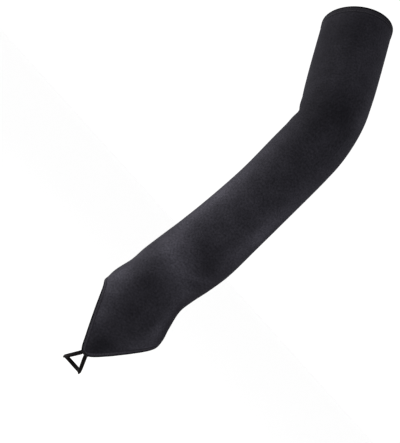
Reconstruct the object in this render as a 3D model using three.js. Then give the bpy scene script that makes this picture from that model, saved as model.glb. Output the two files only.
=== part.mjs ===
// A long fingerless evening mitten of stretch satin, in the shape that it has on a slightly bent left arm.
// One tube of cloth runs from above the elbow to the hand and ends in a point on the back of the hand.
// It is divided here into four stretches, which stand a hair's breadth apart, because it bends.
// A turned hem closes each end, and an elastic cord at the point goes round the middle finger.
//
// The origin is the middle of the wrist. +Z runs up the forearm, -Y is the side of the back of the hand,
// and +X is the side of the little finger. All sizes are in millimetres.
import * as THREE from "three";
import { mergeVertices } from "three/addons/utils/BufferGeometryUtils.js";

// Lengths along the arm's middle line
const FOREARM_LENGTH = 242; // wrist to the elbow's corner
const UPPER_ARM_LENGTH = 128; // elbow's corner to the top of the sleeve
const PALM_LENGTH = 38; // wrist down to the sleeve's edge across the palm
const POINT_LENGTH = 72; // that edge down to the sleeve's point on the back of the hand

// The bend at the elbow
const ELBOW_SIDE_ANGLE = 30.3; // degrees that the upper arm leans to the thumb's side
const ELBOW_BACK_ANGLE = 23; // degrees that it leans away from the back of the hand
const ELBOW_RADIUS = 95; // of the middle line

// Girths: width is across the hand, depth is from its back to the palm
const KNUCKLE_WIDTH = 85;
const KNUCKLE_DEPTH = 32;
const HAND_WIDTH = 91;
const HAND_DEPTH = 42;
const WRIST_WIDTH = 77;
const WRIST_DEPTH = 48;
const FOREARM_WIDTH = 75;
const FOREARM_DEPTH = 67;
const ELBOW_WIDTH = 73;
const ELBOW_DEPTH = 73;
const UPPER_ARM_WIDTH = 79;
const UPPER_ARM_DEPTH = 79;
const FOREARM_BOW = 6.4; // most that the forearm swells to the little finger's side
const HAND_LIFT = 5; // that the knuckles' section stands towards the back of the hand

// Cloth, hems and the gaps between pieces
const CLOTH = 1; // wall of the sleeve
const HEM_PROUD = 0.5; // that a hem's fold stands out from the cloth, on each face
const TOP_HEM_WIDTH = 7;
const HAND_HEM_WIDTH = 4;
const TOP_SLANT = 9; // that the top edge rises to the outer side of the elbow
const TOP_FRONT_RISE = 4; // that it rises at the front
const GAP = 0.3; // between two pieces that are sewn to each other

// The loop for the middle finger
const CORD_WIDTH = 4.6;
const CORD_THICKNESS = 2.2;
const CORD_PARTING = 1; // between the cord's two ends, side by side
const CORD_SPREAD = CORD_WIDTH + CORD_PARTING; // between the middles of the two ends
const CORD_TUCK = 7; // that each end runs up under the point
const FINGER_WIDTH = 24.4; // between the middles of the cord's two sides
const FINGER_DEPTH = 20; // from the middle of the cord at the point to its middle on the palm's side
const WEB_DROP = 19; // from the point down to where the cord passes between the fingers
const PALM_DROP = 1.5; // that it lies lower still on the palm's side of the finger
const LOOP_ANGLE = 1; // middle of the blunt end of the point, where the loop is sewn on
const LOOP_TURNS = 16; // places that set the loop's curve round the finger
const CORD_TWIST = 1.2; // how far the flat cord turns to the front between the fingers
const LEAST_TURN = 0.15; // share of that turn that it keeps behind the finger
const TACK_LENGTH = 8;
const TACK_WIDTH = 1.6;
const TACK_HEIGHT = 1;

// How finely the cloth is divided
const COLUMNS = 48; // round the arm
const HAND_ROWS = 11; // hand edge to wrist
const FOREARM_ROWS = 9; // wrist to the start of the elbow's bend
const ELBOW_ROWS = 13; // along the bend
const UPPER_ROWS = 6; // bend to the top
const CORD_STEPS = 46;
const CORD_SIDES = 10;
const TACK_STEPS = 4;

// Sections of the arm that the cloth is stretched over, from the point to the top, at lengths along it.
// bow is the section's shift to the little finger's side, lift its shift towards the back of the hand.
const HAND_LENGTH = PALM_LENGTH + POINT_LENGTH;
const SLEEVE_TOP = FOREARM_LENGTH + UPPER_ARM_LENGTH;
const MID_UPPER_ARM = FOREARM_LENGTH + 0.45 * UPPER_ARM_LENGTH;
const MUSCLE_WIDTH = 1.06 * FOREARM_WIDTH; // where the forearm is widest
const SECTIONS = [
  { at: -1.1 * HAND_LENGTH, width: KNUCKLE_WIDTH, depth: 0.92 * KNUCKLE_DEPTH, bow: 0.3, lift: 1 },
  { at: -0.78 * HAND_LENGTH, width: 1.03 * KNUCKLE_WIDTH, depth: 1.1 * KNUCKLE_DEPTH, bow: 0.48, lift: 0.9 },
  { at: -1.24 * PALM_LENGTH, width: HAND_WIDTH, depth: HAND_DEPTH, bow: 0.7, lift: 0.6 },
  { at: -0.82 * PALM_LENGTH, width: 0.95 * HAND_WIDTH, depth: 1.05 * HAND_DEPTH, bow: 0.26, lift: 0.5 },
  { at: -0.26 * PALM_LENGTH, width: WRIST_WIDTH, depth: 0.98 * WRIST_DEPTH, bow: 0.06, lift: 0.4 },
  { at: 0.03 * FOREARM_LENGTH, width: 1.01 * WRIST_WIDTH, depth: 1.02 * WRIST_DEPTH, bow: 0.16, lift: 0.3 },
  { at: 0.12 * FOREARM_LENGTH, width: MUSCLE_WIDTH, depth: 0.8 * FOREARM_DEPTH, bow: 0.56, lift: 0.2 },
  { at: 0.23 * FOREARM_LENGTH, width: MUSCLE_WIDTH, depth: 0.88 * FOREARM_DEPTH, bow: 0.94, lift: 0.1 },
  { at: 0.4 * FOREARM_LENGTH, width: 1.01 * FOREARM_WIDTH, depth: 0.95 * FOREARM_DEPTH, bow: 1, lift: 0 },
  { at: 0.6 * FOREARM_LENGTH, width: 0.975 * FOREARM_WIDTH, depth: FOREARM_DEPTH, bow: 0.87, lift: 0 },
  { at: 0.8 * FOREARM_LENGTH, width: 1.01 * ELBOW_WIDTH, depth: 0.96 * ELBOW_DEPTH, bow: 0.45, lift: 0 },
  { at: FOREARM_LENGTH, width: ELBOW_WIDTH, depth: ELBOW_DEPTH, bow: 0, lift: 0 },
  { at: MID_UPPER_ARM, width: 0.98 * UPPER_ARM_WIDTH, depth: 0.98 * UPPER_ARM_DEPTH, bow: 0, lift: 0 },
  { at: 1.05 * SLEEVE_TOP, width: UPPER_ARM_WIDTH, depth: UPPER_ARM_DEPTH, bow: 0, lift: 0 },
];

// The sleeve's edge on the hand. angle goes round the section from the middle of its back, minus to the
// thumb, and drop is the share of POINT_LENGTH that the edge lies below the edge across the palm.
const EDGE = [
  { angle: -180, drop: 0 },
  { angle: -130, drop: 0.02 },
  { angle: -90, drop: 0.055 },
  { angle: -74, drop: 0.085 },
  { angle: -60, drop: 0.15 },
  { angle: -48, drop: 0.28 },
  { angle: -30, drop: 0.545 },
  { angle: -14, drop: 0.81 },
  { angle: -2, drop: 1 },
  { angle: 6, drop: 0.98 },
  { angle: 22, drop: 0.785 },
  { angle: 34, drop: 0.625 },
  { angle: 50, drop: 0.43 },
  { angle: 66, drop: 0.28 },
  { angle: 80, drop: 0.19 },
  { angle: 96, drop: 0.1 },
  { angle: 130, drop: 0.02 },
  { angle: 180, drop: 0 },
];
const POINT_ANGLE = -2; // where the point is, in the table above

// Folds that the bent elbow presses into the cloth. along is the fold's place, angle its middle
// round the arm, reach the angle either side where it has died out, depth and breadth its size.
const FOLDS = [
  { along: 0.99 * FOREARM_LENGTH, angle: -128, reach: 100, depth: 3.6, breadth: 8 },
  { along: 0.9 * FOREARM_LENGTH, angle: -120, reach: 62, depth: 1.3, breadth: 6 },
  { along: FOREARM_LENGTH + 0.2 * UPPER_ARM_LENGTH, angle: -122, reach: 66, depth: 1.4, breadth: 7 },
];

const radians = THREE.MathUtils.degToRad;

// The value of a table's column at a place, on a smooth curve through the rows
function smoothValue(table, key, column, place) {
  const last = table.length - 1;
  const rowAfter = table.findIndex((row) => row[key] > place);
  const i = THREE.MathUtils.clamp(rowAfter < 0 ? last - 1 : rowAfter - 1, 0, last - 1);
  const slopeAt = (row) => {
    const a = table[Math.max(row - 1, 0)];
    const b = table[Math.min(row + 1, last)];
    return (b[column] - a[column]) / (b[key] - a[key]);
  };
  const step = table[i + 1][key] - table[i][key];
  const t = THREE.MathUtils.clamp((place - table[i][key]) / step, 0, 1);
  const fromStart = (1 + 2 * t) * (1 - t) ** 2 * table[i][column] + t * (1 - t) ** 2 * step * slopeAt(i);
  const fromEnd = t * t * (3 - 2 * t) * table[i + 1][column] - t * t * (1 - t) * step * slopeAt(i + 1);
  return fromStart + fromEnd;
}

// The arm's middle line: straight up the forearm, round the elbow, then straight up the upper arm
const upperArm = new THREE.Vector3(
  -Math.sin(radians(ELBOW_SIDE_ANGLE)) * Math.cos(radians(ELBOW_BACK_ANGLE)),
  Math.sin(radians(ELBOW_BACK_ANGLE)),
  Math.cos(radians(ELBOW_SIDE_ANGLE)) * Math.cos(radians(ELBOW_BACK_ANGLE)),
);
const forearm = new THREE.Vector3(0, 0, 1);
const bendAngle = forearm.angleTo(upperArm);
const bendAxis = new THREE.Vector3().crossVectors(forearm, upperArm).normalize();
const bendInside = new THREE.Vector3(upperArm.x, upperArm.y, 0).normalize();
const bendLength = ELBOW_RADIUS * bendAngle;
const bendStart = FOREARM_LENGTH - ELBOW_RADIUS * Math.tan(bendAngle / 2);
const bendEnd = bendStart + bendLength;
const sleeveTop = bendEnd + UPPER_ARM_LENGTH - ELBOW_RADIUS * Math.tan(bendAngle / 2);

// The middle line's point at a length along it, and the directions across and to the front there
function armFrame(along) {
  const turned = THREE.MathUtils.clamp((along - bendStart) / ELBOW_RADIUS, 0, bendAngle);
  const centre = new THREE.Vector3(0, 0, Math.min(along, bendStart));
  centre.addScaledVector(bendInside, ELBOW_RADIUS * (1 - Math.cos(turned)));
  centre.addScaledVector(forearm, ELBOW_RADIUS * Math.sin(turned));
  centre.addScaledVector(upperArm, Math.max(along - bendEnd, 0));
  return {
    centre,
    side: new THREE.Vector3(1, 0, 0).applyAxisAngle(bendAxis, turned),
    front: new THREE.Vector3(0, -1, 0).applyAxisAngle(bendAxis, turned),
  };
}

// How deep the folds are pressed in at a place on the cloth
function foldDepth(angle, along) {
  let depth = 0;
  for (const fold of FOLDS) {
    const away = Math.abs(THREE.MathUtils.euclideanModulo(angle - fold.angle + 180, 360) - 180);
    if (away >= fold.reach) continue;
    const t = (along - fold.along) / fold.breadth;
    depth += fold.depth * Math.cos((away / fold.reach) * (Math.PI / 2)) ** 2 * Math.exp(-t * t);
  }
  return depth;
}

// A point on the cloth. angle goes round from the middle of the back, outward is its height over the cloth.
function clothPoint(angle, along, outward = 0) {
  const { centre, side, front } = armFrame(along);
  const halfWidth = smoothValue(SECTIONS, "at", "width", along) / 2;
  const halfDepth = smoothValue(SECTIONS, "at", "depth", along) / 2;
  const across = Math.sin(radians(angle));
  const forward = Math.cos(radians(angle));
  const normal = new THREE.Vector2(across / halfWidth, forward / halfDepth).normalize();
  const height = outward - foldDepth(angle, along);
  const bow = FOREARM_BOW * smoothValue(SECTIONS, "at", "bow", along);
  const lift = HAND_LIFT * smoothValue(SECTIONS, "at", "lift", along);
  return centre
    .addScaledVector(side, halfWidth * across + normal.x * height + bow)
    .addScaledVector(front, halfDepth * forward + normal.y * height + lift);
}

// The directions of a hem at a place on an edge of the cloth: away from the cloth, and out from its face
function edgeFrame(edgeAt, angle, away) {
  const step = 360 / COLUMNS;
  const along = edgeAt(angle);
  const onEdge = (place) => clothPoint(place, edgeAt(place));
  const round = onEdge(angle + step).sub(onEdge(angle - step));
  const up = clothPoint(angle, along + 1).sub(clothPoint(angle, along - 1));
  const out = new THREE.Vector3().crossVectors(round, up).normalize();
  const past = new THREE.Vector3().crossVectors(out, round).normalize().multiplyScalar(away);
  return { point: clothPoint(angle, along), out, past };
}

const handEdge = (angle) => {
  const turn = THREE.MathUtils.euclideanModulo(angle + 180, 360) - 180;
  return -PALM_LENGTH - POINT_LENGTH * smoothValue(EDGE, "angle", "drop", turn);
};
// The outer side of the elbow is opposite the inside of its bend, where the deepest fold is.
const topEdge = (angle) => {
  const slant = (TOP_SLANT / 2) * Math.sin(radians(angle));
  return sleeveTop + slant + (TOP_FRONT_RISE / 2) * Math.cos(radians(angle));
};

// A closed surface from rings of points: each ring is joined to the next, and the last one to the first
// when the solid closes on itself, or else both end rings are filled from their middles.
function ringSolid(rings, closesOnItself) {
  const count = rings[0].length;
  const positions = rings.flat().flatMap((point) => point.toArray());
  const faces = [];
  const ringPairs = closesOnItself ? rings.length : rings.length - 1;
  for (let r = 0; r < ringPairs; r++) {
    const here = r * count;
    const next = ((r + 1) % rings.length) * count;
    for (let k = 0; k < count; k++) {
      const l = (k + 1) % count;
      faces.push(here + k, next + k, next + l, here + k, next + l, here + l);
    }
  }
  if (!closesOnItself) {
    for (const [ring, flip] of [[0, false], [rings.length - 1, true]]) {
      const middle = rings[ring].reduce((sum, p) => sum.add(p), new THREE.Vector3()).divideScalar(count);
      const hub = positions.push(...middle.toArray()) / 3 - 1;
      for (let k = 0; k < count; k++) {
        const a = ring * count + k;
        const b = ring * count + ((k + 1) % count);
        faces.push(...(flip ? [hub, b, a] : [hub, a, b]));
      }
    }
  }
  const geometry = new THREE.BufferGeometry();
  geometry.setAttribute("position", new THREE.Float32BufferAttribute(positions, 3));
  geometry.setIndex(faces);
  return mergeVertices(geometry);
}

// The columns start at the point, so that its tip is a corner of the mesh.
const columnAngles = Array.from({ length: COLUMNS }, (_, i) => POINT_ANGLE + (360 / COLUMNS) * i);

// The stretches of the cloth tube, from the hand's edge to the top
const STRETCHES = [
  { name: "sleeve_hand", from: handEdge, to: () => 0, rows: HAND_ROWS },
  { name: "sleeve_forearm", from: () => GAP, to: () => bendStart, rows: FOREARM_ROWS },
  { name: "sleeve_elbow", from: () => bendStart + GAP, to: () => bendEnd, rows: ELBOW_ROWS },
  { name: "sleeve_upper_arm", from: () => bendEnd + GAP, to: topEdge, rows: UPPER_ROWS },
];

// One stretch: each column's ring of points runs up its outer face and down its inner face
function stretchGeometry({ from, to, rows }) {
  const rings = columnAngles.map((angle) => {
    const rowLength = (to(angle) - from(angle)) / rows;
    const places = Array.from({ length: rows + 1 }, (_, i) => from(angle) + rowLength * i);
    const outer = places.map((along) => clothPoint(angle, along));
    const inner = places.map((along) => clothPoint(angle, along, -CLOTH));
    return [...outer, ...inner.reverse()];
  });
  return ringSolid(rings, true);
}

// A folded hem along an edge of the cloth, with rounded corners
function hemGeometry(edgeAt, away, width) {
  const top = HEM_PROUD;
  const bottom = -CLOTH - HEM_PROUD;
  const round = (top - bottom) / 3;
  const profile = [
    [GAP, bottom],
    [GAP, top],
    [GAP + width - round, top],
    [GAP + width, top - round],
    [GAP + width, bottom + round],
    [GAP + width - round, bottom],
  ];
  const rings = columnAngles.map((angle) => {
    const { point, out, past } = edgeFrame(edgeAt, angle, away);
    return profile.map(([across, height]) =>
      point.clone().addScaledVector(past, across).addScaledVector(out, height),
    );
  });
  return ringSolid(away > 0 ? rings : rings.reverse(), true);
}

// An oval tube along a curve, with its flat side facing along faceAt
function ovalTube(curve, steps, sides, width, thickness, faceAt) {
  const rings = [];
  for (let i = 0; i <= steps; i++) {
    const point = curve.getPointAt(i / steps);
    const tangent = curve.getTangentAt(i / steps);
    const across = new THREE.Vector3().crossVectors(tangent, faceAt(point)).normalize();
    const out = new THREE.Vector3().crossVectors(across, tangent);
    rings.push(
      Array.from({ length: sides }, (_, k) => {
        const turn = (2 * Math.PI * k) / sides;
        return point
          .clone()
          .addScaledVector(across, (width / 2) * Math.cos(turn))
          .addScaledVector(out, (thickness / 2) * Math.sin(turn));
      }),
    );
  }
  return ringSolid(rings, false);
}

// The end of the point, from which the loop and its tack are placed: down is along the cloth
const endHeight = () => handEdge(LOOP_ANGLE);
const { point: endOfCloth, out: endOut, past: endDown } = edgeFrame(endHeight, LOOP_ANGLE, -1);
const endSide = new THREE.Vector3(1, 0, 0);

// A place near the point's end, from the middle of the hem's lower edge at the level of the cloth's face
const endPlace = (side, out, down) =>
  endOfCloth
    .clone()
    .addScaledVector(endSide, side)
    .addScaledVector(endOut, out)
    .addScaledVector(endDown, GAP + HAND_HEM_WIDTH + down);

// The loop's middle line: up under the point, down to the web beside the finger, round and back up
const cordLevel = -CLOTH - HEM_PROUD - GAP - CORD_THICKNESS / 2;
function loopPath() {
  const startTurn = Math.asin(CORD_SPREAD / FINGER_WIDTH);
  const endRun = (side) => [CORD_TUCK, CORD_TUCK / 2].map((up) => endPlace(side, cordLevel, -up));
  const round = [];
  for (let i = 0; i <= LOOP_TURNS; i++) {
    const turn = startTurn + ((2 * Math.PI - 2 * startTurn) * i) / LOOP_TURNS;
    const side = (-FINGER_WIDTH / 2) * Math.sin(turn);
    const deep = (FINGER_DEPTH / 2) * (Math.cos(startTurn) - Math.cos(turn));
    const behind = Math.max(-Math.cos(turn), 0);
    const fromEnd = (Math.abs(side) - CORD_SPREAD / 2) / (FINGER_WIDTH / 2 - CORD_SPREAD / 2);
    const toWeb = behind > 0 ? 1 : fromEnd;
    round.push(endPlace(side, cordLevel - deep, WEB_DROP * toWeb + PALM_DROP * behind ** 2));
  }
  const places = [...endRun(-CORD_SPREAD / 2), ...round, ...endRun(CORD_SPREAD / 2).reverse()];
  return new THREE.CatmullRomCurve3(places, false, "centripetal");
}

function loopGeometry() {
  const finger = endPlace(0, cordLevel - FINGER_DEPTH / 2, 0);
  const fromFinger = (point) => {
    const out = new THREE.Vector3(point.x - finger.x, point.y - finger.y, 0).normalize();
    return out.addScaledVector(endOut, CORD_TWIST * Math.max(-out.y, LEAST_TURN));
  };
  return ovalTube(loopPath(), CORD_STEPS, CORD_SIDES, CORD_WIDTH, CORD_THICKNESS, fromFinger);
}

// The bar of thread across the point, on the hem's outer face
function tackGeometry() {
  const level = HEM_PROUD + GAP + TACK_HEIGHT / 2;
  const [start, end] = [-1, 1].map((way) => endPlace((way * TACK_LENGTH) / 2, level, -HAND_HEM_WIDTH / 2));
  const bar = new THREE.LineCurve3(start, end);
  return ovalTube(bar, TACK_STEPS, CORD_SIDES, TACK_WIDTH, TACK_HEIGHT, () => endOut);
}

const satin = new THREE.MeshStandardMaterial({ color: 0x1c1b20, roughness: 0.42, metalness: 0 });
const hemSatin = new THREE.MeshStandardMaterial({ color: 0x141318, roughness: 0.5, metalness: 0 });
const elastic = new THREE.MeshStandardMaterial({ color: 0x120f10, roughness: 0.6, metalness: 0 });
const thread = new THREE.MeshStandardMaterial({ color: 0x1a181a, roughness: 0.55, metalness: 0 });

function piece(name, geometry, material) {
  geometry.computeVertexNormals();
  const mesh = new THREE.Mesh(geometry, material);
  mesh.name = name;
  return mesh;
}

const mitten = new THREE.Group();
mitten.add(
  ...STRETCHES.map((stretch) => piece(stretch.name, stretchGeometry(stretch), satin)),
  piece("top_hem", hemGeometry(topEdge, 1, TOP_HEM_WIDTH), hemSatin),
  piece("hand_hem", hemGeometry(handEdge, -1, HAND_HEM_WIDTH), hemSatin),
  piece("finger_loop", loopGeometry(), elastic),
  piece("loop_tack", tackGeometry(), thread),
);

export default mitten;
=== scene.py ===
import math
from collections import namedtuple

import bmesh
import bpy
import numpy as np
from mathutils import Matrix, Vector


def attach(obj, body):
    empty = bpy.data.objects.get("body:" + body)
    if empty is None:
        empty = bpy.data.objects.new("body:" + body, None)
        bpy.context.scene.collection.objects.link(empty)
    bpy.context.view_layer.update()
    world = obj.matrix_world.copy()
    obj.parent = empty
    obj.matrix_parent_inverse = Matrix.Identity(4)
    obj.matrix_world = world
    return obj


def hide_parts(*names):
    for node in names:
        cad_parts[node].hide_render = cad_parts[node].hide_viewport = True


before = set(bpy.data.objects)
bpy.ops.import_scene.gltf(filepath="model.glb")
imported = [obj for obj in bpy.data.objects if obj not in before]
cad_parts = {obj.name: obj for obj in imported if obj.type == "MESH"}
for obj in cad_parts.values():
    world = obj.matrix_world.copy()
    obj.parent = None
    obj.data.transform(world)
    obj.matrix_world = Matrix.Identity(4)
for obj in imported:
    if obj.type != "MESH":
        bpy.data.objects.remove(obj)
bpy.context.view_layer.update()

# Sizes are in millimetres, as in the part's source, and MM turns them into Blender's metres.
# The origin is the middle of the wrist. +Z runs up the forearm, -Y is the side of the back of the hand,
# and +X is the side of the little finger. Angles are degrees round the arm from -Y, plus towards +X.
MM = 0.001

# Lengths along the arm's middle line
FOREARM_LENGTH = 242  # wrist to the elbow's corner
UPPER_ARM_LENGTH = 128  # elbow's corner to the top of the sleeve
PALM_LENGTH = 38  # wrist down to the sleeve's edge across the palm
POINT_LENGTH = 72  # that edge down to the sleeve's point on the back of the hand
HAND_LENGTH = PALM_LENGTH + POINT_LENGTH

# The bend at the elbow
ELBOW_SIDE_ANGLE = 30.3  # degrees that the upper arm leans to the thumb's side
ELBOW_BACK_ANGLE = 23  # degrees that it leans away from the back of the hand
ELBOW_RADIUS = 95  # of the middle line

# Girths: width is across the hand, depth is from its back to the palm
KNUCKLE_WIDTH = 85
KNUCKLE_DEPTH = 32
HAND_WIDTH = 91
HAND_DEPTH = 42
WRIST_WIDTH = 77
WRIST_DEPTH = 48
FOREARM_WIDTH = 75
FOREARM_DEPTH = 67
MUSCLE_WIDTH = 1.06 * FOREARM_WIDTH  # where the forearm is widest
ELBOW_WIDTH = 73
ELBOW_DEPTH = 73
UPPER_ARM_WIDTH = 79
UPPER_ARM_DEPTH = 79
FOREARM_BOW = 6.4  # most that the forearm swells to the little finger's side
HAND_LIFT = 5  # that the knuckles' section stands towards the back of the hand
DEGREE_LENGTH = math.radians(FOREARM_WIDTH / 2)  # of one degree round the forearm

# Cloth, hems and the gaps between pieces
CLOTH = 1  # wall of the sleeve
HEM_PROUD = 0.5  # that a hem's fold stands out from the cloth, on each face
TOP_HEM_WIDTH = 7
HAND_HEM_WIDTH = 4
TOP_SLANT = 9  # that the top edge rises to the outer side of the elbow
TOP_FRONT_RISE = 4  # that it rises at the front
GAP = 0.3  # between two pieces that are sewn to each other
UNDER_HEM = 1.5  # that the cloth runs on inside a hem

# The two hems. away is 1 where the hem lies above its edge of the cloth and -1 where it lies below,
# fold_line is the breadth of the painted shade along its fold, and tone is how light the hem looks beside it.
Hem = namedtuple("Hem", "away width stitches fold_line tone")
TOP_HEM = Hem(1, TOP_HEM_WIDTH, 88, 2.5, 0.65)
HAND_HEM = Hem(-1, HAND_HEM_WIDTH, 96, 1.9, 1)
FOLD_PAINTED_SHADE = 0.06  # share of the hem's tone left under the painted shade along its fold and its sewn side
TONE_STEP = 0.5  # breadth over which that painted shade comes in
SEWN_SIDE = 0.1  # how far past the cloth's edge the painted shade of the sewn side reaches

# Stitches along a hem
STITCH_INSET = 1.0  # from the cloth's edge to the hem's stitches
STITCH_LEVEL = 0.2  # of the hem's face at its stitches, over the cloth's face
STITCH_THICKNESS = 0.36
STITCH_START = 0.12  # share of a stitch's room where its thread comes up
STITCH_END = 0.88  # and where it goes down
STITCH_ARCH = 0.6  # the lower, the flatter a stitch is along its middle
STITCH_SINK = 0.75  # share of its thickness that a stitch's ends sink into the hem's face
DENT_DEPTH = 0.16  # that a stitch presses into the hem
DENT_REACH = 0.6

# A hem's cross-section on its two faces, next to the cloth's edge. past is how far a place lies past
# that edge. level is its height over the cloth's face outside, and over the hem's own face inside.
Corner = namedtuple("Corner", "past level")
HEM_START = -0.5  # inside the cloth, short of its edge
HEM_OUTSIDE = [
    Corner(HEM_START, -0.25),
    Corner(HEM_START + 0.25, 0.06),
    Corner(0.25, 0.24),
    Corner(STITCH_INSET, STITCH_LEVEL),
    Corner(1.8, 0.42),
]
HEM_INSIDE = [
    Corner(1.8, 0.1),
    Corner(STITCH_INSET, 0.28),
    Corner(0.25, 0.25),
    Corner(HEM_START, HEM_PROUD + 0.25),
]

# The loop for the middle finger
CORD_WIDTH = 4.6
CORD_THICKNESS = 2.2
CORD_PARTING = 1  # between the cord's two ends, side by side
CORD_SPREAD = CORD_WIDTH + CORD_PARTING  # between the middles of the two ends
CORD_TUCK = 7  # that each end runs up under the point
CORD_LAP = 0.6  # above the hem's lower edge, where the straight ends give way to the round part
CORD_LEVEL = -CLOTH - HEM_PROUD - GAP - CORD_THICKNESS / 2  # of the cord's middle under the hem
FINGER_WIDTH = 24.4  # between the middles of the cord's two sides
FINGER_DEPTH = 20  # from the middle of the cord at the point to its middle on the palm's side
WEB_DROP = 19  # from the point down to where the cord passes between the fingers
PALM_DROP = 1.5  # that it lies lower still on the palm's side of the finger
LOOP_ANGLE = 1  # middle of the blunt end of the point, where the loop is sewn on
CORD_TWIST = 1.2  # how far the flat cord turns to the front between the fingers
LEAST_TURN = 0.15  # share of that turn that it keeps behind the finger
LINE_DEPTH = 0.22  # of the line down the middle of the cord's outer face
LINE_BREADTH = 0.16  # of that line, as a share of half the cord's width

# The bar tack that holds the loop
TACK_LENGTH = 8
TACK_WIDTH = 1.6
TACK_HEIGHT = 1
TACK_TURNS = 13
TACK_THREAD_WIDTH = 1.05  # as a share of the room that a turn has
TACK_THREAD_HEIGHT = 0.9

# The long seam, hidden on the palm's side of the arm
SEAM_ANGLE = 152
SEAM_DEPTH = 0.5
SEAM_BREADTH = 0.9

# How finely the cloth is divided
COLUMNS = 128  # round the arm
SEAM_COLUMNS = (-3.4, -2.2, -1.4, -0.8, -0.35, 0, 0.35, 0.8, 1.4, 2.2, 3.4)  # degrees from the seam
SEAM_CLEARANCE = 4.2  # degrees either side of the seam that have no other columns
HAND_ROWS = 74  # hand edge to wrist
FOREARM_ROWS = 92  # wrist to the start of the elbow's bend
ELBOW_ROWS = 84  # along the bend
UPPER_ROWS = 56  # bend to the top
EDGE_STEPS = 2880  # that measure an edge of the cloth
EDGE_SPAN = 2.0  # degrees either side of a place that give its edge's direction
EDGE_RISE = 1  # millimetres either side of a place that give the arm's direction

# How finely hems, stitches, cord and tack are divided
RINGS_A_STITCH = 6  # of a hem
HEM_FOLD_POINTS = 9
STEPS_A_STITCH = 24  # that measure a stitch's room
STITCH_RINGS = 7
STITCH_SIDES = 6
CORD_ROUND_STEPS = 150
CORD_END_STEPS = 12
CORD_SMOOTHINGS = 4  # that round the corners where the ends meet the round part
CORD_RINGS = 260
CORD_SIDES = 28
TACK_TURN_STEPS = 14
TACK_SIDES = 8

# Sections of the arm that the cloth is stretched over, from the point to the top, at lengths along it.
# bow and lift are shares of FOREARM_BOW and HAND_LIFT.
Section = namedtuple("Section", "along width depth bow lift")
SECTIONS = [
    Section(-1.1 * HAND_LENGTH, KNUCKLE_WIDTH, 0.92 * KNUCKLE_DEPTH, 0.3, 1),
    Section(-0.78 * HAND_LENGTH, 1.03 * KNUCKLE_WIDTH, 1.1 * KNUCKLE_DEPTH, 0.48, 0.9),
    Section(-1.24 * PALM_LENGTH, HAND_WIDTH, HAND_DEPTH, 0.7, 0.6),
    Section(-0.82 * PALM_LENGTH, 0.95 * HAND_WIDTH, 1.05 * HAND_DEPTH, 0.26, 0.5),
    Section(-0.26 * PALM_LENGTH, WRIST_WIDTH, 0.98 * WRIST_DEPTH, 0.06, 0.4),
    Section(0.03 * FOREARM_LENGTH, 1.01 * WRIST_WIDTH, 1.02 * WRIST_DEPTH, 0.16, 0.3),
    Section(0.12 * FOREARM_LENGTH, MUSCLE_WIDTH, 0.8 * FOREARM_DEPTH, 0.56, 0.2),
    Section(0.23 * FOREARM_LENGTH, MUSCLE_WIDTH, 0.88 * FOREARM_DEPTH, 0.94, 0.1),
    Section(0.4 * FOREARM_LENGTH, 1.01 * FOREARM_WIDTH, 0.95 * FOREARM_DEPTH, 1, 0),
    Section(0.6 * FOREARM_LENGTH, 0.975 * FOREARM_WIDTH, FOREARM_DEPTH, 0.87, 0),
    Section(0.8 * FOREARM_LENGTH, 1.01 * ELBOW_WIDTH, 0.96 * ELBOW_DEPTH, 0.45, 0),
    Section(FOREARM_LENGTH, ELBOW_WIDTH, ELBOW_DEPTH, 0, 0),
    Section(FOREARM_LENGTH + 0.45 * UPPER_ARM_LENGTH, 0.98 * UPPER_ARM_WIDTH, 0.98 * UPPER_ARM_DEPTH, 0, 0),
    Section(1.05 * (FOREARM_LENGTH + UPPER_ARM_LENGTH), UPPER_ARM_WIDTH, UPPER_ARM_DEPTH, 0, 0),
]

# The cloth's edge on the hand: drop is the share of POINT_LENGTH below the edge across the palm
Edge = namedtuple("Edge", "angle drop")
EDGE = [
    Edge(-180, 0), Edge(-130, 0.02), Edge(-90, 0.055), Edge(-74, 0.085), Edge(-60, 0.15), Edge(-48, 0.28),
    Edge(-30, 0.545), Edge(-14, 0.81), Edge(-2, 1), Edge(6, 0.98), Edge(22, 0.785), Edge(34, 0.625),
    Edge(50, 0.43), Edge(66, 0.28), Edge(80, 0.19), Edge(96, 0.1), Edge(130, 0.02), Edge(180, 0),
]
POINT_ANGLE = -2  # where the point is, in the table above

# Folds in the cloth, plus is out. slant is how far a fold climbs along the arm for each degree round it.
Fold = namedtuple("Fold", "along angle reach height breadth slant")
FOLDS = [
    Fold(0.99 * FOREARM_LENGTH, -128, 100, -3.3, 10, 0),
    Fold(0.9 * FOREARM_LENGTH, -142, 62, -1.2, 6, 0),
    Fold(FOREARM_LENGTH + 0.2 * UPPER_ARM_LENGTH, -144, 62, -1.3, 7, 0),
    Fold(0.091 * FOREARM_LENGTH, -12, 70, 0.5, 12, -0.3),
    Fold(0.12 * FOREARM_LENGTH, 32, 40, 0.35, 4, 0.34),
    Fold(0.2 * FOREARM_LENGTH, 14, 60, -0.5, 18, 0),
]
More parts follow.
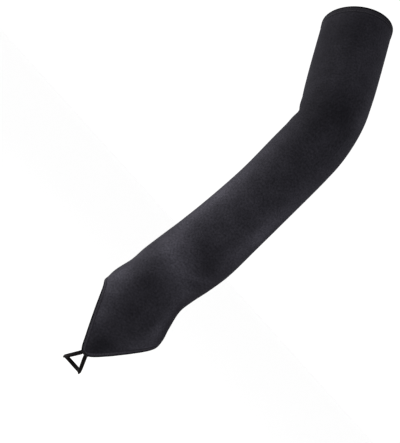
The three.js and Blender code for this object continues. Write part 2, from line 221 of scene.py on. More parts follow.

# Soft patches of painted light and painted shade in the satin's colour: painted sheen along its long edges
# and over the wrist, painted shade at the elbow. Their amounts follow the brightness read at places on the
# pictured cloth, so they carry the light that fell on it.
# length and breadth are how far the change reaches along the arm and across it,
# and slant is how far it climbs along the arm for each degree round it.
PaintedPatch = namedtuple("PaintedPatch", "along angle length breadth amount slant")
PAINTED_LIGHT_AND_SHADE = [
    PaintedPatch(-95, 8, 14, 9, -0.5, 0),
    PaintedPatch(-72, -30, 16, 9, 0.6, 0),
    PaintedPatch(-66, 42, 12, 8, 0.5, 0),
    PaintedPatch(-57, 64, 12, 10, 0.7, 0),
    PaintedPatch(-50, 0, 18, 10, -0.25, 0),
    PaintedPatch(-38, -56, 20, 14, 1.1, 0),
    PaintedPatch(-35, 50, 28, 8, 0.85, 0),
    PaintedPatch(-12, -14, 14, 12, -0.35, 0),
    PaintedPatch(-6, -66, 26, 18, 0.5, 0),
    PaintedPatch(8, 40, 10, 10, 0.5, 0),
    PaintedPatch(26, -12, 19, 32, 1.1, -0.26),
    PaintedPatch(40, -42, 16, 12, 0.4, 0),
    PaintedPatch(29, 32, 4, 14, 0.6, 0.34),
    PaintedPatch(48, 14, 15, 14, -0.3, 0),
    PaintedPatch(100, -5, 40, 26, 0.2, 0),
    PaintedPatch(102, -62, 48, 15, 0.8, 0),
    PaintedPatch(100, -62, 120, 18, 0.45, 0),
    PaintedPatch(108, 44, 36, 12, 1.0, 0),
    PaintedPatch(135, 60, 90, 14, 0.75, 0),
    PaintedPatch(205, -22, 34, 16, -0.25, 0),
    PaintedPatch(234, -70, 20, 26, -0.4, 0),
    PaintedPatch(252, 0, 22, 32, -0.4, 0),
    PaintedPatch(254, 52, 16, 9, 0.5, 0),
    PaintedPatch(272, -58, 34, 26, -0.2, 0),
    PaintedPatch(305, 60, 50, 22, 0.4, 0),
    PaintedPatch(335, -62, 45, 30, -0.35, 0),
    PaintedPatch(345, -10, 30, 20, -0.3, 0),
]


def smooth_value(table, key, column, place):
    """The value of a table's column at a place, on a smooth curve through its rows."""
    knots = np.array([getattr(row, key) for row in table], float)
    values = np.array([getattr(row, column) for row in table], float)
    last = len(table) - 1
    before = np.maximum(np.arange(len(table)) - 1, 0)
    after = np.minimum(np.arange(len(table)) + 1, last)
    slopes = (values[after] - values[before]) / (knots[after] - knots[before])
    place = np.asarray(place, float)
    low = np.clip(np.searchsorted(knots, place, side="right") - 1, 0, last - 1)
    high = low + 1
    step = knots[high] - knots[low]
    t = np.clip((place - knots[low]) / step, 0, 1)
    from_low = (1 + 2 * t) * (1 - t) ** 2 * values[low] + t * (1 - t) ** 2 * step * slopes[low]
    return from_low + t * t * (3 - 2 * t) * values[high] - t * t * (1 - t) * step * slopes[high]


def unit(vectors):
    """The vectors at a length of one."""
    return vectors / np.linalg.norm(vectors, axis=-1, keepdims=True)


def turn_from(start, angle):
    """The turn from one angle to others, between -180 and 180 degrees."""
    return (angle - start + 180) % 360 - 180


def turned_by(vector, axis, angle):
    """The vector turned about the axis by each of the angles."""
    angle = np.asarray(angle)[..., None]
    return (
        vector * np.cos(angle)
        + np.cross(axis, vector) * np.sin(angle)
        + axis * np.dot(axis, vector) * (1 - np.cos(angle))
    )


def run_along(points):
    """How far along a line each of its points lies."""
    steps = np.linalg.norm(np.diff(points, axis=0), axis=1)
    return np.concatenate([[0], np.cumsum(steps)])


# The arm's middle line: straight up the forearm, round the elbow, straight up the upper arm
side_lean = math.radians(ELBOW_SIDE_ANGLE)
back_lean = math.radians(ELBOW_BACK_ANGLE)
upper_arm = np.array([
    -math.sin(side_lean) * math.cos(back_lean),
    math.sin(back_lean),
    math.cos(side_lean) * math.cos(back_lean),
])
forearm = np.array([0.0, 0.0, 1.0])
bend_angle = math.acos(float(forearm @ upper_arm))
bend_axis = unit(np.cross(forearm, upper_arm))
bend_inside = unit(np.array([upper_arm[0], upper_arm[1], 0.0]))
bend_start = FOREARM_LENGTH - ELBOW_RADIUS * math.tan(bend_angle / 2)
bend_end = bend_start + ELBOW_RADIUS * bend_angle
sleeve_top = bend_end + UPPER_ARM_LENGTH - ELBOW_RADIUS * math.tan(bend_angle / 2)


def arm_frame(along):
    """The middle line's points at lengths along it, and the directions across and to the front there."""
    turned = np.clip((along - bend_start) / ELBOW_RADIUS, 0, bend_angle)
    centre = np.minimum(along, bend_start)[..., None] * forearm
    centre = centre + (ELBOW_RADIUS * (1 - np.cos(turned)))[..., None] * bend_inside
    centre = centre + (ELBOW_RADIUS * np.sin(turned))[..., None] * forearm
    centre = centre + np.maximum(along - bend_end, 0)[..., None] * upper_arm
    side = turned_by(np.array([1.0, 0.0, 0.0]), bend_axis, turned)
    front = turned_by(np.array([0.0, -1.0, 0.0]), bend_axis, turned)
    return centre, side, front


def relief(angle, along):
    """How far folds and the seam raise or sink the cloth."""
    height = np.zeros(np.broadcast(angle, along).shape)
    for fold in FOLDS:
        turn = turn_from(fold.angle, angle)
        window = np.where(np.abs(turn) < fold.reach, np.cos(turn / fold.reach * np.pi / 2) ** 2, 0)
        across = (along - fold.along - fold.slant * turn) / fold.breadth
        height = height + fold.height * window * np.exp(-(across**2))
    beside_seam = turn_from(SEAM_ANGLE, angle) * DEGREE_LENGTH
    return height - SEAM_DEPTH * np.exp(-((beside_seam / SEAM_BREADTH) ** 2))


def shade(angle, along):
    """The painted light and shade that the satin's own colour is multiplied by at a place, 1 where no patch
    reaches.
    """
    level = np.ones(np.broadcast(angle, along).shape)
    for patch in PAINTED_LIGHT_AND_SHADE:
        turn = turn_from(patch.angle, angle)
        up = (along - patch.along - patch.slant * turn) / patch.length
        across = turn * DEGREE_LENGTH / patch.breadth
        level = level + patch.amount * np.exp(-(up**2 + across**2))
    return level


def cloth(angle, along, outward=0.0):
    """Points on the cloth, at a height over it."""
    angle, along, outward = np.broadcast_arrays(np.asarray(angle, float), np.asarray(along, float), outward)
    centre, side, front = arm_frame(along)
    half_width = smooth_value(SECTIONS, "along", "width", along) / 2
    half_depth = smooth_value(SECTIONS, "along", "depth", along) / 2
    bow = FOREARM_BOW * smooth_value(SECTIONS, "along", "bow", along)
    lift = HAND_LIFT * smooth_value(SECTIONS, "along", "lift", along)
    across, forward = np.sin(np.radians(angle)), np.cos(np.radians(angle))
    normal = unit(np.stack([across / half_width, forward / half_depth], -1))
    height = outward + relief(angle, along)
    return (
        centre
        + (half_width * across + normal[..., 0] * height + bow)[..., None] * side
        + (half_depth * forward + normal[..., 1] * height + lift)[..., None] * front
    )


def hand_edge(angle):
    """How far along the arm the cloth's edge on the hand is."""
    turn = turn_from(0, np.asarray(angle, float))
    return -PALM_LENGTH - POINT_LENGTH * smooth_value(EDGE, "angle", "drop", turn)


def top_edge(angle):
    """How far along the arm the cloth's top edge is."""
    turn = np.radians(angle)
    return sleeve_top + TOP_SLANT / 2 * np.sin(turn) + TOP_FRONT_RISE / 2 * np.cos(turn)


def edge_frame(edge_at, angle, away):
    """Points on an edge of the cloth, and the directions out of its face and past the edge."""
    angle = np.asarray(angle, float)
    along = edge_at(angle)
    before, after = angle - EDGE_SPAN, angle + EDGE_SPAN
    around = cloth(after, edge_at(after)) - cloth(before, edge_at(before))
    up = cloth(angle, along + EDGE_RISE) - cloth(angle, along - EDGE_RISE)
    out = unit(np.cross(around, up))
    return cloth(angle, along), out, away * unit(np.cross(out, around))


def even_angles(edge_at, count):
    """Angles that divide an edge of the cloth evenly, from the long seam round, and its length."""
    fine = np.linspace(SEAM_ANGLE, SEAM_ANGLE + 360, EDGE_STEPS + 1)
    run = run_along(cloth(fine, edge_at(fine)))
    return np.interp(np.linspace(0, run[-1], count, endpoint=False), run, fine), run[-1]


# Meshes

CLOTH_PLACES = "cloth"  # name of the corners' places on the cloth
TONE = "tone"  # name of the level, with its painted light and shade, that multiplies the satin's colour at a point


def add_object(name, data):
    """A new object in the scene."""
    thing = bpy.data.objects.new(name, data)
    bpy.context.scene.collection.objects.link(thing)
    return thing


def set_places(mesh, places):
    """Gives each corner of each face its place on the cloth, from millimetres."""
    layer = mesh.uv_layers.new(name=CLOTH_PLACES)
    layer.data.foreach_set("uv", (places * MM).astype(np.float32).ravel())


def smooth_piece(name, mesh):
    """An object of a mesh, with smooth shading."""
    mesh.polygons.foreach_set("use_smooth", np.ones(len(mesh.polygons), bool))
    mesh.update()
    return add_object(name, mesh)


def grid_piece(name, points, materials, u, v, rings_close=True, face_material=None, tone=None):
    """A piece from rings of points. A ring closes along its rows, and the rings may close as well.

    u and v are places on the cloth in millimetres, for one ring and one row more than the points where
    these close.
    """
    rings, rows = points.shape[:2]
    ring_pairs = rings if rings_close else rings - 1
    r, k = np.meshgrid(np.arange(ring_pairs), np.arange(rows), indexing="ij")
    here, following = r * rows, (r + 1) % rings * rows
    after = (k + 1) % rows
    corners = np.stack([here + k, following + k, following + after, here + after], -1).reshape(-1, 4)
    mesh = bpy.data.meshes.new(name)
    mesh.from_pydata((points.reshape(-1, 3) * MM).tolist(), [], corners.tolist())
    u, v = np.broadcast_arrays(np.asarray(u, float), np.asarray(v, float))
    corner = [(r, k), (r + 1, k), (r + 1, k + 1), (r, k + 1)]
    set_places(mesh, np.stack([np.stack([u[at], v[at]], -1) for at in corner], -2))
    levels = np.ones(rings * rows) if tone is None else np.ravel(tone)
    mesh.attributes.new(TONE, "FLOAT", "POINT").data.foreach_set("value", levels.astype(np.float32))
    for material in materials:
        mesh.materials.append(material)
    if face_material is not None:
        indices = np.broadcast_to(face_material, r.shape).astype(np.int32)
        mesh.polygons.foreach_set("material_index", indices.ravel())
    return smooth_piece(name, mesh)


def oval_rings(line, out, width, thickness, sides, extra_height=None):
    """Rings of an oval tube round a line of points, flat side out."""
    tangent = unit(np.gradient(line, axis=0))
    across = unit(np.cross(tangent, out))
    face = np.cross(across, tangent)
    turn = np.linspace(0, 2 * np.pi, sides, endpoint=False)
    wide = np.cos(turn) * width / 2
    high = np.sin(turn) * thickness / 2
    if extra_height is not None:
        high = high + extra_height(turn)
    return line[:, None] + across[:, None] * wide[None, :, None] + face[:, None] * high[None, :, None]


def close_ends(piece, rings, rows):
    """Fills the two open ends of a tube."""
    form = bmesh.new()
    form.from_mesh(piece.data)
    form.verts.ensure_lookup_table()
    form.faces.new([form.verts[k] for k in range(rows)])
    form.faces.new([form.verts[(rings - 1) * rows + k] for k in reversed(range(rows))])
    form.to_mesh(piece.data)
    form.free()


def tube_faces(first, rings, sides):
    """Faces of a tube with closed ends, whose points are numbered from the first one on."""
    faces = []
    for ring in range(rings - 1):
        here, following = first + ring * sides, first + (ring + 1) * sides
        for k in range(sides):
            after = (k + 1) % sides
            faces.append((here + k, following + k, following + after, here + after))
    faces.append(tuple(first + k for k in range(sides)))
    faces.append(tuple(first + (rings - 1) * sides + k for k in reversed(range(sides))))
    return faces


# Materials. Scales are those of Blender's textures on the cloth, and depths are in metres.

GRAIN_SCALE = 450.0
GRAIN_DETAIL = 2.0
GRAIN_CONTRAST = 1.6  # how much of the satin's tone the grain changes
GRAIN_DEPTH = 0.0003
GRAIN_STRENGTH = 0.4
ROUGHNESS_RANGE = 0.2  # over the grain
CLOUD_SCALE = 60.0
CLOUD_DETAIL = 3.0
CLOUD_CONTRAST = 0.8  # how much of the satin's tone the larger clouds change
LEAST_LEVEL = 0.05  # of all tones together
WEAVE_SCALE = 480.0
WEAVE_DISTORTION = 0.6
WEAVE_DEPTH = 0.00005
WEAVE_STRENGTH = 0.35
SATIN_SPECULAR = 0.02
SATIN_TINT = (0.78, 0.76, 1.0, 1.0)  # of its gloss and its sheen
SHEEN_ROUGHNESS = 0.5
PLY_SCALE = 900.0
PLY_DEPTH = 0.0001
PLY_STRENGTH = 1.0
PLY_PAINTED_SHADE = 0.5  # shares of a thread's colour painted as shade between its plies and as highlight on them
PLY_PAINTED_HIGHLIGHT = 1.6
THREAD_SPECULAR = 0.08
THREAD_ROUGHNESS = 0.5


def new_material(name):
    """A material with one shader."""
    material = bpy.data.materials.new(name)
    material.use_nodes = True
    nodes = material.node_tree.nodes
    nodes.clear()
    output = nodes.new("ShaderNodeOutputMaterial")
    shader = nodes.new("ShaderNodeBsdfPrincipled")
    material.node_tree.links.new(shader.outputs["BSDF"], output.inputs["Surface"])
    return material, shader


def cloth_place(nodes):
    """The place on the cloth, in metres."""
    node = nodes.new("ShaderNodeUVMap")
    node.uv_map = CLOTH_PLACES
    return node.outputs["UV"]


def float_math(nodes, links, operation, *values):
    """A maths node. Each value is a number or another node's output."""
    node = nodes.new("ShaderNodeMath")
    node.operation = operation
    for socket, value in zip(node.inputs, values):
        if isinstance(value, (int, float)):
            socket.default_value = value
        else:
            links.new(value, socket)
    return node.outputs[0]


def noise(nodes, links, place, scale, detail):
    """A noise texture's value."""
    node = nodes.new("ShaderNodeTexNoise")
    node.inputs["Scale"].default_value = scale
    node.inputs["Detail"].default_value = detail
    links.new(place, node.inputs["Vector"])
    return node.outputs["Fac"]


def diagonal_wave(nodes, links, place, scale, distortion=0.0):
    """The value of a texture of diagonal ribs."""
    node = nodes.new("ShaderNodeTexWave")
    node.bands_direction = "DIAGONAL"
    node.inputs["Scale"].default_value = scale
    node.inputs["Distortion"].default_value = distortion
    links.new(place, node.inputs["Vector"])
    return node.outputs["Fac"]


def bump(nodes, links, height, strength, depth, under=None):
    """A bump's normal, on top of another one's where one is given."""
    node = nodes.new("ShaderNodeBump")
    node.inputs["Strength"].default_value = strength
    node.inputs["Distance"].default_value = depth
    links.new(height, node.inputs["Height"])
    if under is not None:
        links.new(under, node.inputs["Normal"])
    return node.outputs["Normal"]


def satin(name, colour, roughness, sheen, grain=1.0):
    """Satin: a fine diagonal weave, a mottled tone, painted light and shade from the tone attribute, and a
    soft sheen.
    """
    material, shader = new_material(name)
    nodes, links = material.node_tree.nodes, material.node_tree.links
    place = cloth_place(nodes)
    fine = noise(nodes, links, place, GRAIN_SCALE, GRAIN_DETAIL)
    cloud = noise(nodes, links, place, CLOUD_SCALE, CLOUD_DETAIL)
    tone = nodes.new("ShaderNodeAttribute")
    tone.attribute_name = TONE
    contrast = GRAIN_CONTRAST * grain
    mottle = float_math(nodes, links, "MULTIPLY_ADD", fine, contrast, 1 - contrast / 2)
    drift = float_math(nodes, links, "MULTIPLY_ADD", cloud, CLOUD_CONTRAST, 1 - CLOUD_CONTRAST / 2)
    level = float_math(nodes, links, "MULTIPLY", mottle, drift)
    # The tone attribute multiplies in the painted light and shade.
    level = float_math(nodes, links, "MULTIPLY", level, tone.outputs["Fac"])
    level = float_math(nodes, links, "MAXIMUM", level, LEAST_LEVEL)
    tint = nodes.new("ShaderNodeVectorMath")
    tint.operation = "SCALE"
    tint.inputs[0].default_value = colour
    links.new(level, tint.inputs["Scale"])
    links.new(tint.outputs["Vector"], shader.inputs["Base Color"])
    shader.inputs["Specular IOR Level"].default_value = SATIN_SPECULAR
    shader.inputs["Specular Tint"].default_value = SATIN_TINT
    shader.inputs["Sheen Weight"].default_value = sheen
    shader.inputs["Sheen Roughness"].default_value = SHEEN_ROUGHNESS
    shader.inputs["Sheen Tint"].default_value = SATIN_TINT
    smoothest = roughness - ROUGHNESS_RANGE / 2
    rough = float_math(nodes, links, "MULTIPLY_ADD", fine, ROUGHNESS_RANGE, smoothest)
    links.new(rough, shader.inputs["Roughness"])
    ribs = diagonal_wave(nodes, links, place, WEAVE_SCALE, WEAVE_DISTORTION)
    weave = bump(nodes, links, ribs, WEAVE_STRENGTH, WEAVE_DEPTH)
    surface = bump(nodes, links, fine, GRAIN_STRENGTH, GRAIN_DEPTH, under=weave)
    links.new(surface, shader.inputs["Normal"])
    return material


def twisted_thread(name, colour):
    """Thread: plies twisted round each other, with painted shade between them and painted highlight on them.
    """
    material, shader = new_material(name)
    nodes, links = material.node_tree.nodes, material.node_tree.links
    ply = diagonal_wave(nodes, links, cloth_place(nodes), PLY_SCALE)
    ramp = nodes.new("ShaderNodeValToRGB")
    for stop, share in zip(ramp.color_ramp.elements, (PLY_PAINTED_SHADE, PLY_PAINTED_HIGHLIGHT)):
        stop.color = (*[channel * share for channel in colour], 1)
    links.new(ply, ramp.inputs["Fac"])
    links.new(ramp.outputs["Color"], shader.inputs["Base Color"])
    links.new(bump(nodes, links, ply, PLY_STRENGTH, PLY_DEPTH), shader.inputs["Normal"])
    shader.inputs["Specular IOR Level"].default_value = THREAD_SPECULAR
    shader.inputs["Roughness"].default_value = THREAD_ROUGHNESS
    return material


outer_satin = satin("outer_satin", colour=(0.0116, 0.0111, 0.0140), roughness=0.8, sheen=0.012)
inner_satin = satin("inner_satin", colour=(0.0090, 0.0084, 0.0105), roughness=0.62, sheen=0.012, grain=0.5)
hem_satin = satin("hem_satin", colour=(0.0175, 0.0166, 0.0205), roughness=0.8, sheen=0.003, grain=0.6)
loop_satin = satin("loop_satin", colour=(0.0040, 0.0031, 0.0029), roughness=0.45, sheen=0.008, grain=0.5)
sewing_thread = twisted_thread("sewing_thread", colour=(0.032, 0.030, 0.036))
tack_thread = twisted_thread("tack_thread", colour=(0.006, 0.0055, 0.006))


# The sleeve


def sleeve_angles():
    """The angles of the sleeve's columns, from the long seam round, closer together beside it."""
    plain = (POINT_ANGLE + 360 / COLUMNS * np.arange(COLUMNS) - SEAM_ANGLE) % 360
    clear_of_seam = np.abs(plain - 180) < 180 - SEAM_CLEARANCE
    beside_seam = np.array(SEAM_COLUMNS) % 360
    return SEAM_ANGLE + np.sort(np.concatenate([plain[clear_of_seam], beside_seam]))


def sleeve_rows(angles):
    """How far along the arm each row of the sleeve is, from the hand's edge to the top."""
    low = hand_edge(angles) - UNDER_HEM
    high = top_edge(angles) + UNDER_HEM
    zero = np.zeros_like(angles)
    stretches = [
        (low, zero, HAND_ROWS),
        (zero, zero + bend_start, FOREARM_ROWS),
        (zero + bend_start, zero + bend_end, ELBOW_ROWS),
        (zero + bend_end, high, UPPER_ROWS),
    ]
    rows = [
        start[:, None] + (end - start)[:, None] * np.arange(count) / count for start, end, count in stretches
    ]
    return np.concatenate([*rows, high[:, None]], axis=1)


def sleeve_piece():
    """The sleeve's cloth: up its outer face and down its inner one in each column."""
    angles = sleeve_angles()
    along = sleeve_rows(angles)
    outer = cloth(angles[:, None], along)
    inner = cloth(angles[:, None], along, -CLOTH)[:, ::-1]
    count = along.shape[1]
    inside = (np.arange(2 * count) >= count - 1).astype(int)
    u = np.append(angles, angles[0] + 360) * DEGREE_LENGTH
    v = np.concatenate([along, along[:, ::-1], along[:, :1]], axis=1)
    return grid_piece(
        "sleeve_cloth",
        np.concatenate([outer, inner], axis=1),
        [outer_satin, inner_satin],
        u[:, None],
        np.concatenate([v, v[:1]]),
        face_material=inside[None, :],
        # The outer face takes the painted light and shade; the inner face keeps its own colour.
        tone=np.concatenate([shade(angles[:, None], along), np.ones_like(along)], axis=1),
    )


# The hems and their stitches


def hem_profile(hem):
    """A hem's cross-section: out from the cloth, round the fold at its free edge and back inside."""
    free_edge = GAP + hem.width
    top, bottom = HEM_PROUD, -CLOTH - HEM_PROUD
    middle, round_off = (top + bottom) / 2, (top - bottom) / 2
    fold_line = free_edge - hem.fold_line
    flat = [Corner(fold_line, top), Corner(fold_line + TONE_STEP, top)]
    fold = [
        Corner(free_edge - round_off * (1 - math.cos(turn)), middle + round_off * math.sin(turn))
        for turn in np.linspace(np.pi / 2, -np.pi / 2, HEM_FOLD_POINTS)
    ]
    inside = [Corner(corner.past, bottom + corner.level) for corner in HEM_INSIDE]
    return np.array(HEM_OUTSIDE + flat + fold + inside)


def hem_tone(hem, past):
    """How light a hem looks across its width, with painted shade along its fold and its sewn side."""
    from_edge = GAP + hem.width - past
    painted_fold_shade = 1 - (1 - FOLD_PAINTED_SHADE) * np.clip((hem.fold_line - from_edge) / TONE_STEP, 0, 1)
    painted_seam_shade = 1 - (1 - FOLD_PAINTED_SHADE) * np.clip((SEWN_SIDE - past) / TONE_STEP, 0, 1)
    return hem.tone * painted_fold_shade * painted_seam_shade


def hem_piece(name, edge_at, hem):
    """A hem folded over an edge of the cloth, with a dent at each of its stitches."""
    angles, length = even_angles(edge_at, hem.stitches * RINGS_A_STITCH)
    point, out, past = edge_frame(edge_at, angles, hem.away)
    profile = hem_profile(hem)
    dent = DENT_DEPTH * (1 - np.cos(2 * np.pi * np.arange(len(angles)) / RINGS_A_STITCH)) / 2
    face = np.where(profile[:, 1] > -CLOTH / 2, 1, -1)
    near_stitches = np.exp(-(((profile[:, 0] - STITCH_INSET) / DENT_REACH) ** 2)) * face
    height = profile[None, :, 1] - dent[:, None] * near_stitches[None, :]
    rings = point[:, None] + past[:, None] * profile[None, :, 0, None] + out[:, None] * height[..., None]
    tone = np.broadcast_to(hem_tone(hem, profile[:, 0]), rings.shape[:2])
    u = np.linspace(0, length, len(angles) + 1)
    v = np.append(run_along(profile), 2 * (hem.width + CLOTH + HEM_PROUD))
    if hem.away < 0:
        rings, u = rings[::-1], u[::-1]
    return grid_piece(name, rings, [hem_satin], u[:, None], v, tone=tone)


def stitch_piece(name, edge_at, hem):
    """A row of short stitches, each a thread that dips into the cloth at both ends."""
    share = np.linspace(STITCH_START, STITCH_END, STITCH_RINGS)
    angles, length = even_angles(edge_at, hem.stitches * STEPS_A_STITCH)
    whole_turn = np.append(angles, angles[0] + 360)
    steps = (np.arange(hem.stitches)[:, None] + share[None, :]) * STEPS_A_STITCH
    at = np.interp(steps.ravel(), np.arange(len(whole_turn)), whole_turn)
    point, out, past = edge_frame(edge_at, at, hem.away)
    arch = np.sin(np.pi * np.tile(np.linspace(0, 1, STITCH_RINGS), hem.stitches)) ** STITCH_ARCH
    rise = STITCH_LEVEL + STITCH_THICKNESS * (arch - STITCH_SINK)
    line = point + past * STITCH_INSET + out * rise[:, None]
    by_stitch = (hem.stitches, STITCH_RINGS, 3)
    points = np.array([
        oval_rings(stitch_line, stitch_out, STITCH_THICKNESS, STITCH_THICKNESS, STITCH_SIDES)
        for stitch_line, stitch_out in zip(line.reshape(by_stitch), out.reshape(by_stitch))
    ])
    stitch_points = STITCH_RINGS * STITCH_SIDES
    faces = []
    for i in range(hem.stitches):
        faces += tube_faces(i * stitch_points, STITCH_RINGS, STITCH_SIDES)
    mesh = bpy.data.meshes.new(name)
    mesh.from_pydata((points.reshape(-1, 3) * MM).tolist(), [], faces)
    u = length / hem.stitches * share
    v = np.pi * STITCH_THICKNESS * np.arange(STITCH_SIDES) / STITCH_SIDES
    places = np.stack(np.meshgrid(u, v, indexing="ij"), -1).reshape(-1, 2)
    set_places(mesh, places[[corner % stitch_points for face in faces for corner in face]])
    mesh.materials.append(sewing_thread)
    return smooth_piece(name, mesh)


# The finger loop and its tack


def level_edge(angle):
    """An edge that runs straight round the arm at the point's blunt end."""
    return hand_edge(LOOP_ANGLE) + 0 * np.asarray(angle)


end_point, end_out, end_down = (row[0] for row in edge_frame(level_edge, [LOOP_ANGLE], -1))
end_side = np.array([1.0, 0.0, 0.0])


def end_place(side, out, down):
    """A place near the point's end, from the middle of the hem's lower edge and the cloth's face."""
    side, out, down = np.broadcast_arrays(side, out, down)
    return (
        end_point
        + side[..., None] * end_side
        + out[..., None] * end_out
        + (GAP + HAND_HEM_WIDTH + down)[..., None] * end_down
    )


def loop_line():
    """Points evenly along the cord's middle: down, round behind the finger and up. Also their run."""
    start_turn = math.asin(CORD_SPREAD / FINGER_WIDTH)
    turn = np.linspace(start_turn, 2 * math.pi - start_turn, CORD_ROUND_STEPS)
    side = -FINGER_WIDTH / 2 * np.sin(turn)
    deep = FINGER_DEPTH / 2 * (math.cos(start_turn) - np.cos(turn))
    behind = np.maximum(-np.cos(turn), 0)
    to_web = (np.abs(side) - CORD_SPREAD / 2) / (FINGER_WIDTH / 2 - CORD_SPREAD / 2)
    to_web = np.where(behind > 0, 1, to_web)
    round_way = end_place(side, CORD_LEVEL - deep, WEB_DROP * to_web + PALM_DROP * behind**2)
    up = np.linspace(CORD_TUCK, CORD_LAP, CORD_END_STEPS)
    first = end_place(-CORD_SPREAD / 2, CORD_LEVEL, -up)
    last = end_place(CORD_SPREAD / 2, CORD_LEVEL, -up[::-1])
    line = np.concatenate([first, round_way, last])
    for _ in range(CORD_SMOOTHINGS):
        line[1:-1] = (line[:-2] + 2 * line[1:-1] + line[2:]) / 4
    run = run_along(line)
    even = np.linspace(0, run[-1], CORD_RINGS)
    return np.stack([np.interp(even, run, line[:, axis]) for axis in range(3)], -1), even


def middle_line(turn):
    """The height of the shallow line down the middle of the cord's outer face."""
    return np.where(np.sin(turn) > 0, -LINE_DEPTH * np.exp(-((np.cos(turn) / LINE_BREADTH) ** 2)), 0)


def loop_piece():
    """The finger loop: satin over flat elastic, with a shallow line down its middle."""
    line, run = loop_line()
    from_finger = line - end_place(0, CORD_LEVEL - FINGER_DEPTH / 2, 0)
    from_finger[:, 2] = 0
    from_finger = unit(from_finger)
    to_front = CORD_TWIST * np.maximum(-from_finger[:, 1:2], LEAST_TURN) * end_out
    out = unit(from_finger + to_front)
    rings = oval_rings(line, out, CORD_WIDTH, CORD_THICKNESS, CORD_SIDES, middle_line)
    around = np.linspace(0, 2 * (CORD_WIDTH + CORD_THICKNESS), CORD_SIDES + 1)
    piece = grid_piece("finger_loop_cord", rings, [loop_satin], run[:, None], around, rings_close=False)
    close_ends(piece, CORD_RINGS, CORD_SIDES)
    return piece


def tack_piece():
    """The bar tack: thread wound closely round a flat bar."""
    level = HEM_PROUD + GAP + TACK_HEIGHT / 2
    count = TACK_TURNS * TACK_TURN_STEPS
    run = np.arange(count + 1) / count
    turn = run * TACK_TURNS * 2 * np.pi
    thickness = TACK_LENGTH / TACK_TURNS
    side = (run - 0.5) * (TACK_LENGTH - thickness)
    out = level + (TACK_HEIGHT - thickness) / 2 * np.sin(turn)
    down = -HAND_HEM_WIDTH / 2 + (TACK_WIDTH - thickness) / 2 * np.cos(turn)
    line = end_place(side, out, down)
    centre = end_place(side, level, -HAND_HEM_WIDTH / 2)
    width, height = thickness * TACK_THREAD_WIDTH, thickness * TACK_THREAD_HEIGHT
    rings = oval_rings(line, unit(line - centre), width, height, TACK_SIDES)
    thread_run = run[:, None] * TACK_TURNS * 2 * (TACK_WIDTH + TACK_HEIGHT)
    thread_girth = 3 * thickness
    around = np.linspace(0, thread_girth, TACK_SIDES + 1)
    piece = grid_piece("loop_tack_thread", rings, [tack_thread], thread_run, around, rings_close=False)
    close_ends(piece, count + 1, TACK_SIDES)
    return piece


# The pieces on their body

sleeve = sleeve_piece()
top_hem = hem_piece("top_hem_band", top_edge, TOP_HEM)
hand_hem = hem_piece("hand_hem_band", hand_edge, HAND_HEM)
top_stitches = stitch_piece("top_hem_stitches", top_edge, TOP_HEM)
hand_stitches = stitch_piece("hand_hem_stitches", hand_edge, HAND_HEM)
loop = loop_piece()
tack = tack_piece()

for piece, slot in (
    (sleeve, "satin"),
    (top_hem, "hem_satin"),
    (hand_hem, "hem_satin"),
    (top_stitches, "thread"),
    (hand_stitches, "thread"),
    (loop, "elastic"),
    (tack, "thread"),
):
    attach(piece, "root")
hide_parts("sleeve_hand", "sleeve_forearm", "sleeve_elbow", "sleeve_upper_arm")
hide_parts("top_hem")
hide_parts("hand_hem")
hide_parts("finger_loop")
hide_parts("loop_tack")


# Floor, light and camera, in metres

FLOOR_HEIGHT = -0.45
FLOOR_HALF = 30.0
FLOOR_COLOUR = (0.94, 0.94, 0.94, 1)
FLOOR_ROUGHNESS = 0.9
FLOOR_SPECULAR = 0.1
STUDIO_COLOUR = (1, 1, 1, 1)
STUDIO_STRENGTH = 1.05
AIM = Vector((-0.019, 0.0, 0.0716))
CAMERA_DISTANCE = 1.2
CAMERA_ROLL = math.radians(48)
VIEW_WIDTH = 0.432
SENSOR_WIDTH = 36.0  # in millimetres, as Blender takes it

Light = namedtuple("Light", "name place size power colour")
LIGHTS = [
    Light("upper_left", (-1.9, 0.2, 0.9), 1.4, 45, (1, 1, 0.93)),
    Light("low_left", (-0.55, -0.05, -0.3), 0.5, 4, (1, 1, 0.93)),
    Light("front", (-0.6, -2.2, 1.0), 1.4, 12, (1, 1, 1)),
]


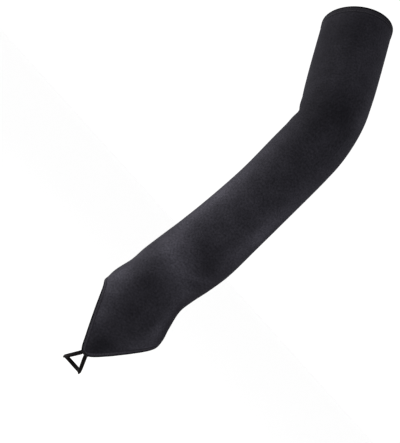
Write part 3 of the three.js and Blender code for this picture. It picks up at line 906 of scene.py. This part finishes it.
def floor():
    """A wide pale floor."""
    mesh = bpy.data.meshes.new("floor")
    corners = [(-1, -1), (1, -1), (1, 1), (-1, 1)]
    points = [(x * FLOOR_HALF, y * FLOOR_HALF, FLOOR_HEIGHT) for x, y in corners]
    mesh.from_pydata(points, [], [(0, 1, 2, 3)])
    material, shader = new_material("pale_floor")
    shader.inputs["Base Color"].default_value = FLOOR_COLOUR
    shader.inputs["Roughness"].default_value = FLOOR_ROUGHNESS
    shader.inputs["Specular IOR Level"].default_value = FLOOR_SPECULAR
    mesh.materials.append(material)
    plane = add_object("floor", mesh)


def studio():
    """Even light from all round."""
    world = bpy.data.worlds.new("studio")
    world.use_nodes = True
    background = world.node_tree.nodes["Background"]
    background.inputs["Color"].default_value = STUDIO_COLOUR
    background.inputs["Strength"].default_value = STUDIO_STRENGTH
    bpy.context.scene.world = world


def soft_light(lamp):
    """A large square light that faces the mitten."""
    data = bpy.data.lights.new(lamp.name, "AREA")
    data.shape = "SQUARE"
    data.size = lamp.size
    data.energy = lamp.power
    data.color = lamp.colour
    light = add_object(lamp.name, data)
    light.location = lamp.place
    light.rotation_euler = (AIM - Vector(lamp.place)).to_track_quat("-Z", "Y").to_euler()


def camera():
    """The camera in front of the mitten, rolled so that the forearm lies aslant as in the photo."""
    data = bpy.data.cameras.new("photo_camera")
    data.sensor_fit = "HORIZONTAL"
    data.sensor_width = SENSOR_WIDTH
    data.lens = SENSOR_WIDTH * CAMERA_DISTANCE / VIEW_WIDTH
    right = Vector((math.cos(CAMERA_ROLL), 0, math.sin(CAMERA_ROLL)))
    up = Vector((-math.sin(CAMERA_ROLL), 0, math.cos(CAMERA_ROLL)))
    back = right.cross(up)
    turn = Matrix((right, up, back)).transposed().to_4x4()
    eye = add_object("photo_camera", data)
    eye.matrix_world = Matrix.Translation(AIM + back * CAMERA_DISTANCE) @ turn
    bpy.context.scene.camera = eye


bpy.context.scene.view_settings.view_transform = "Standard"
floor()
studio()
for lamp in LIGHTS:
    soft_light(lamp)
camera()
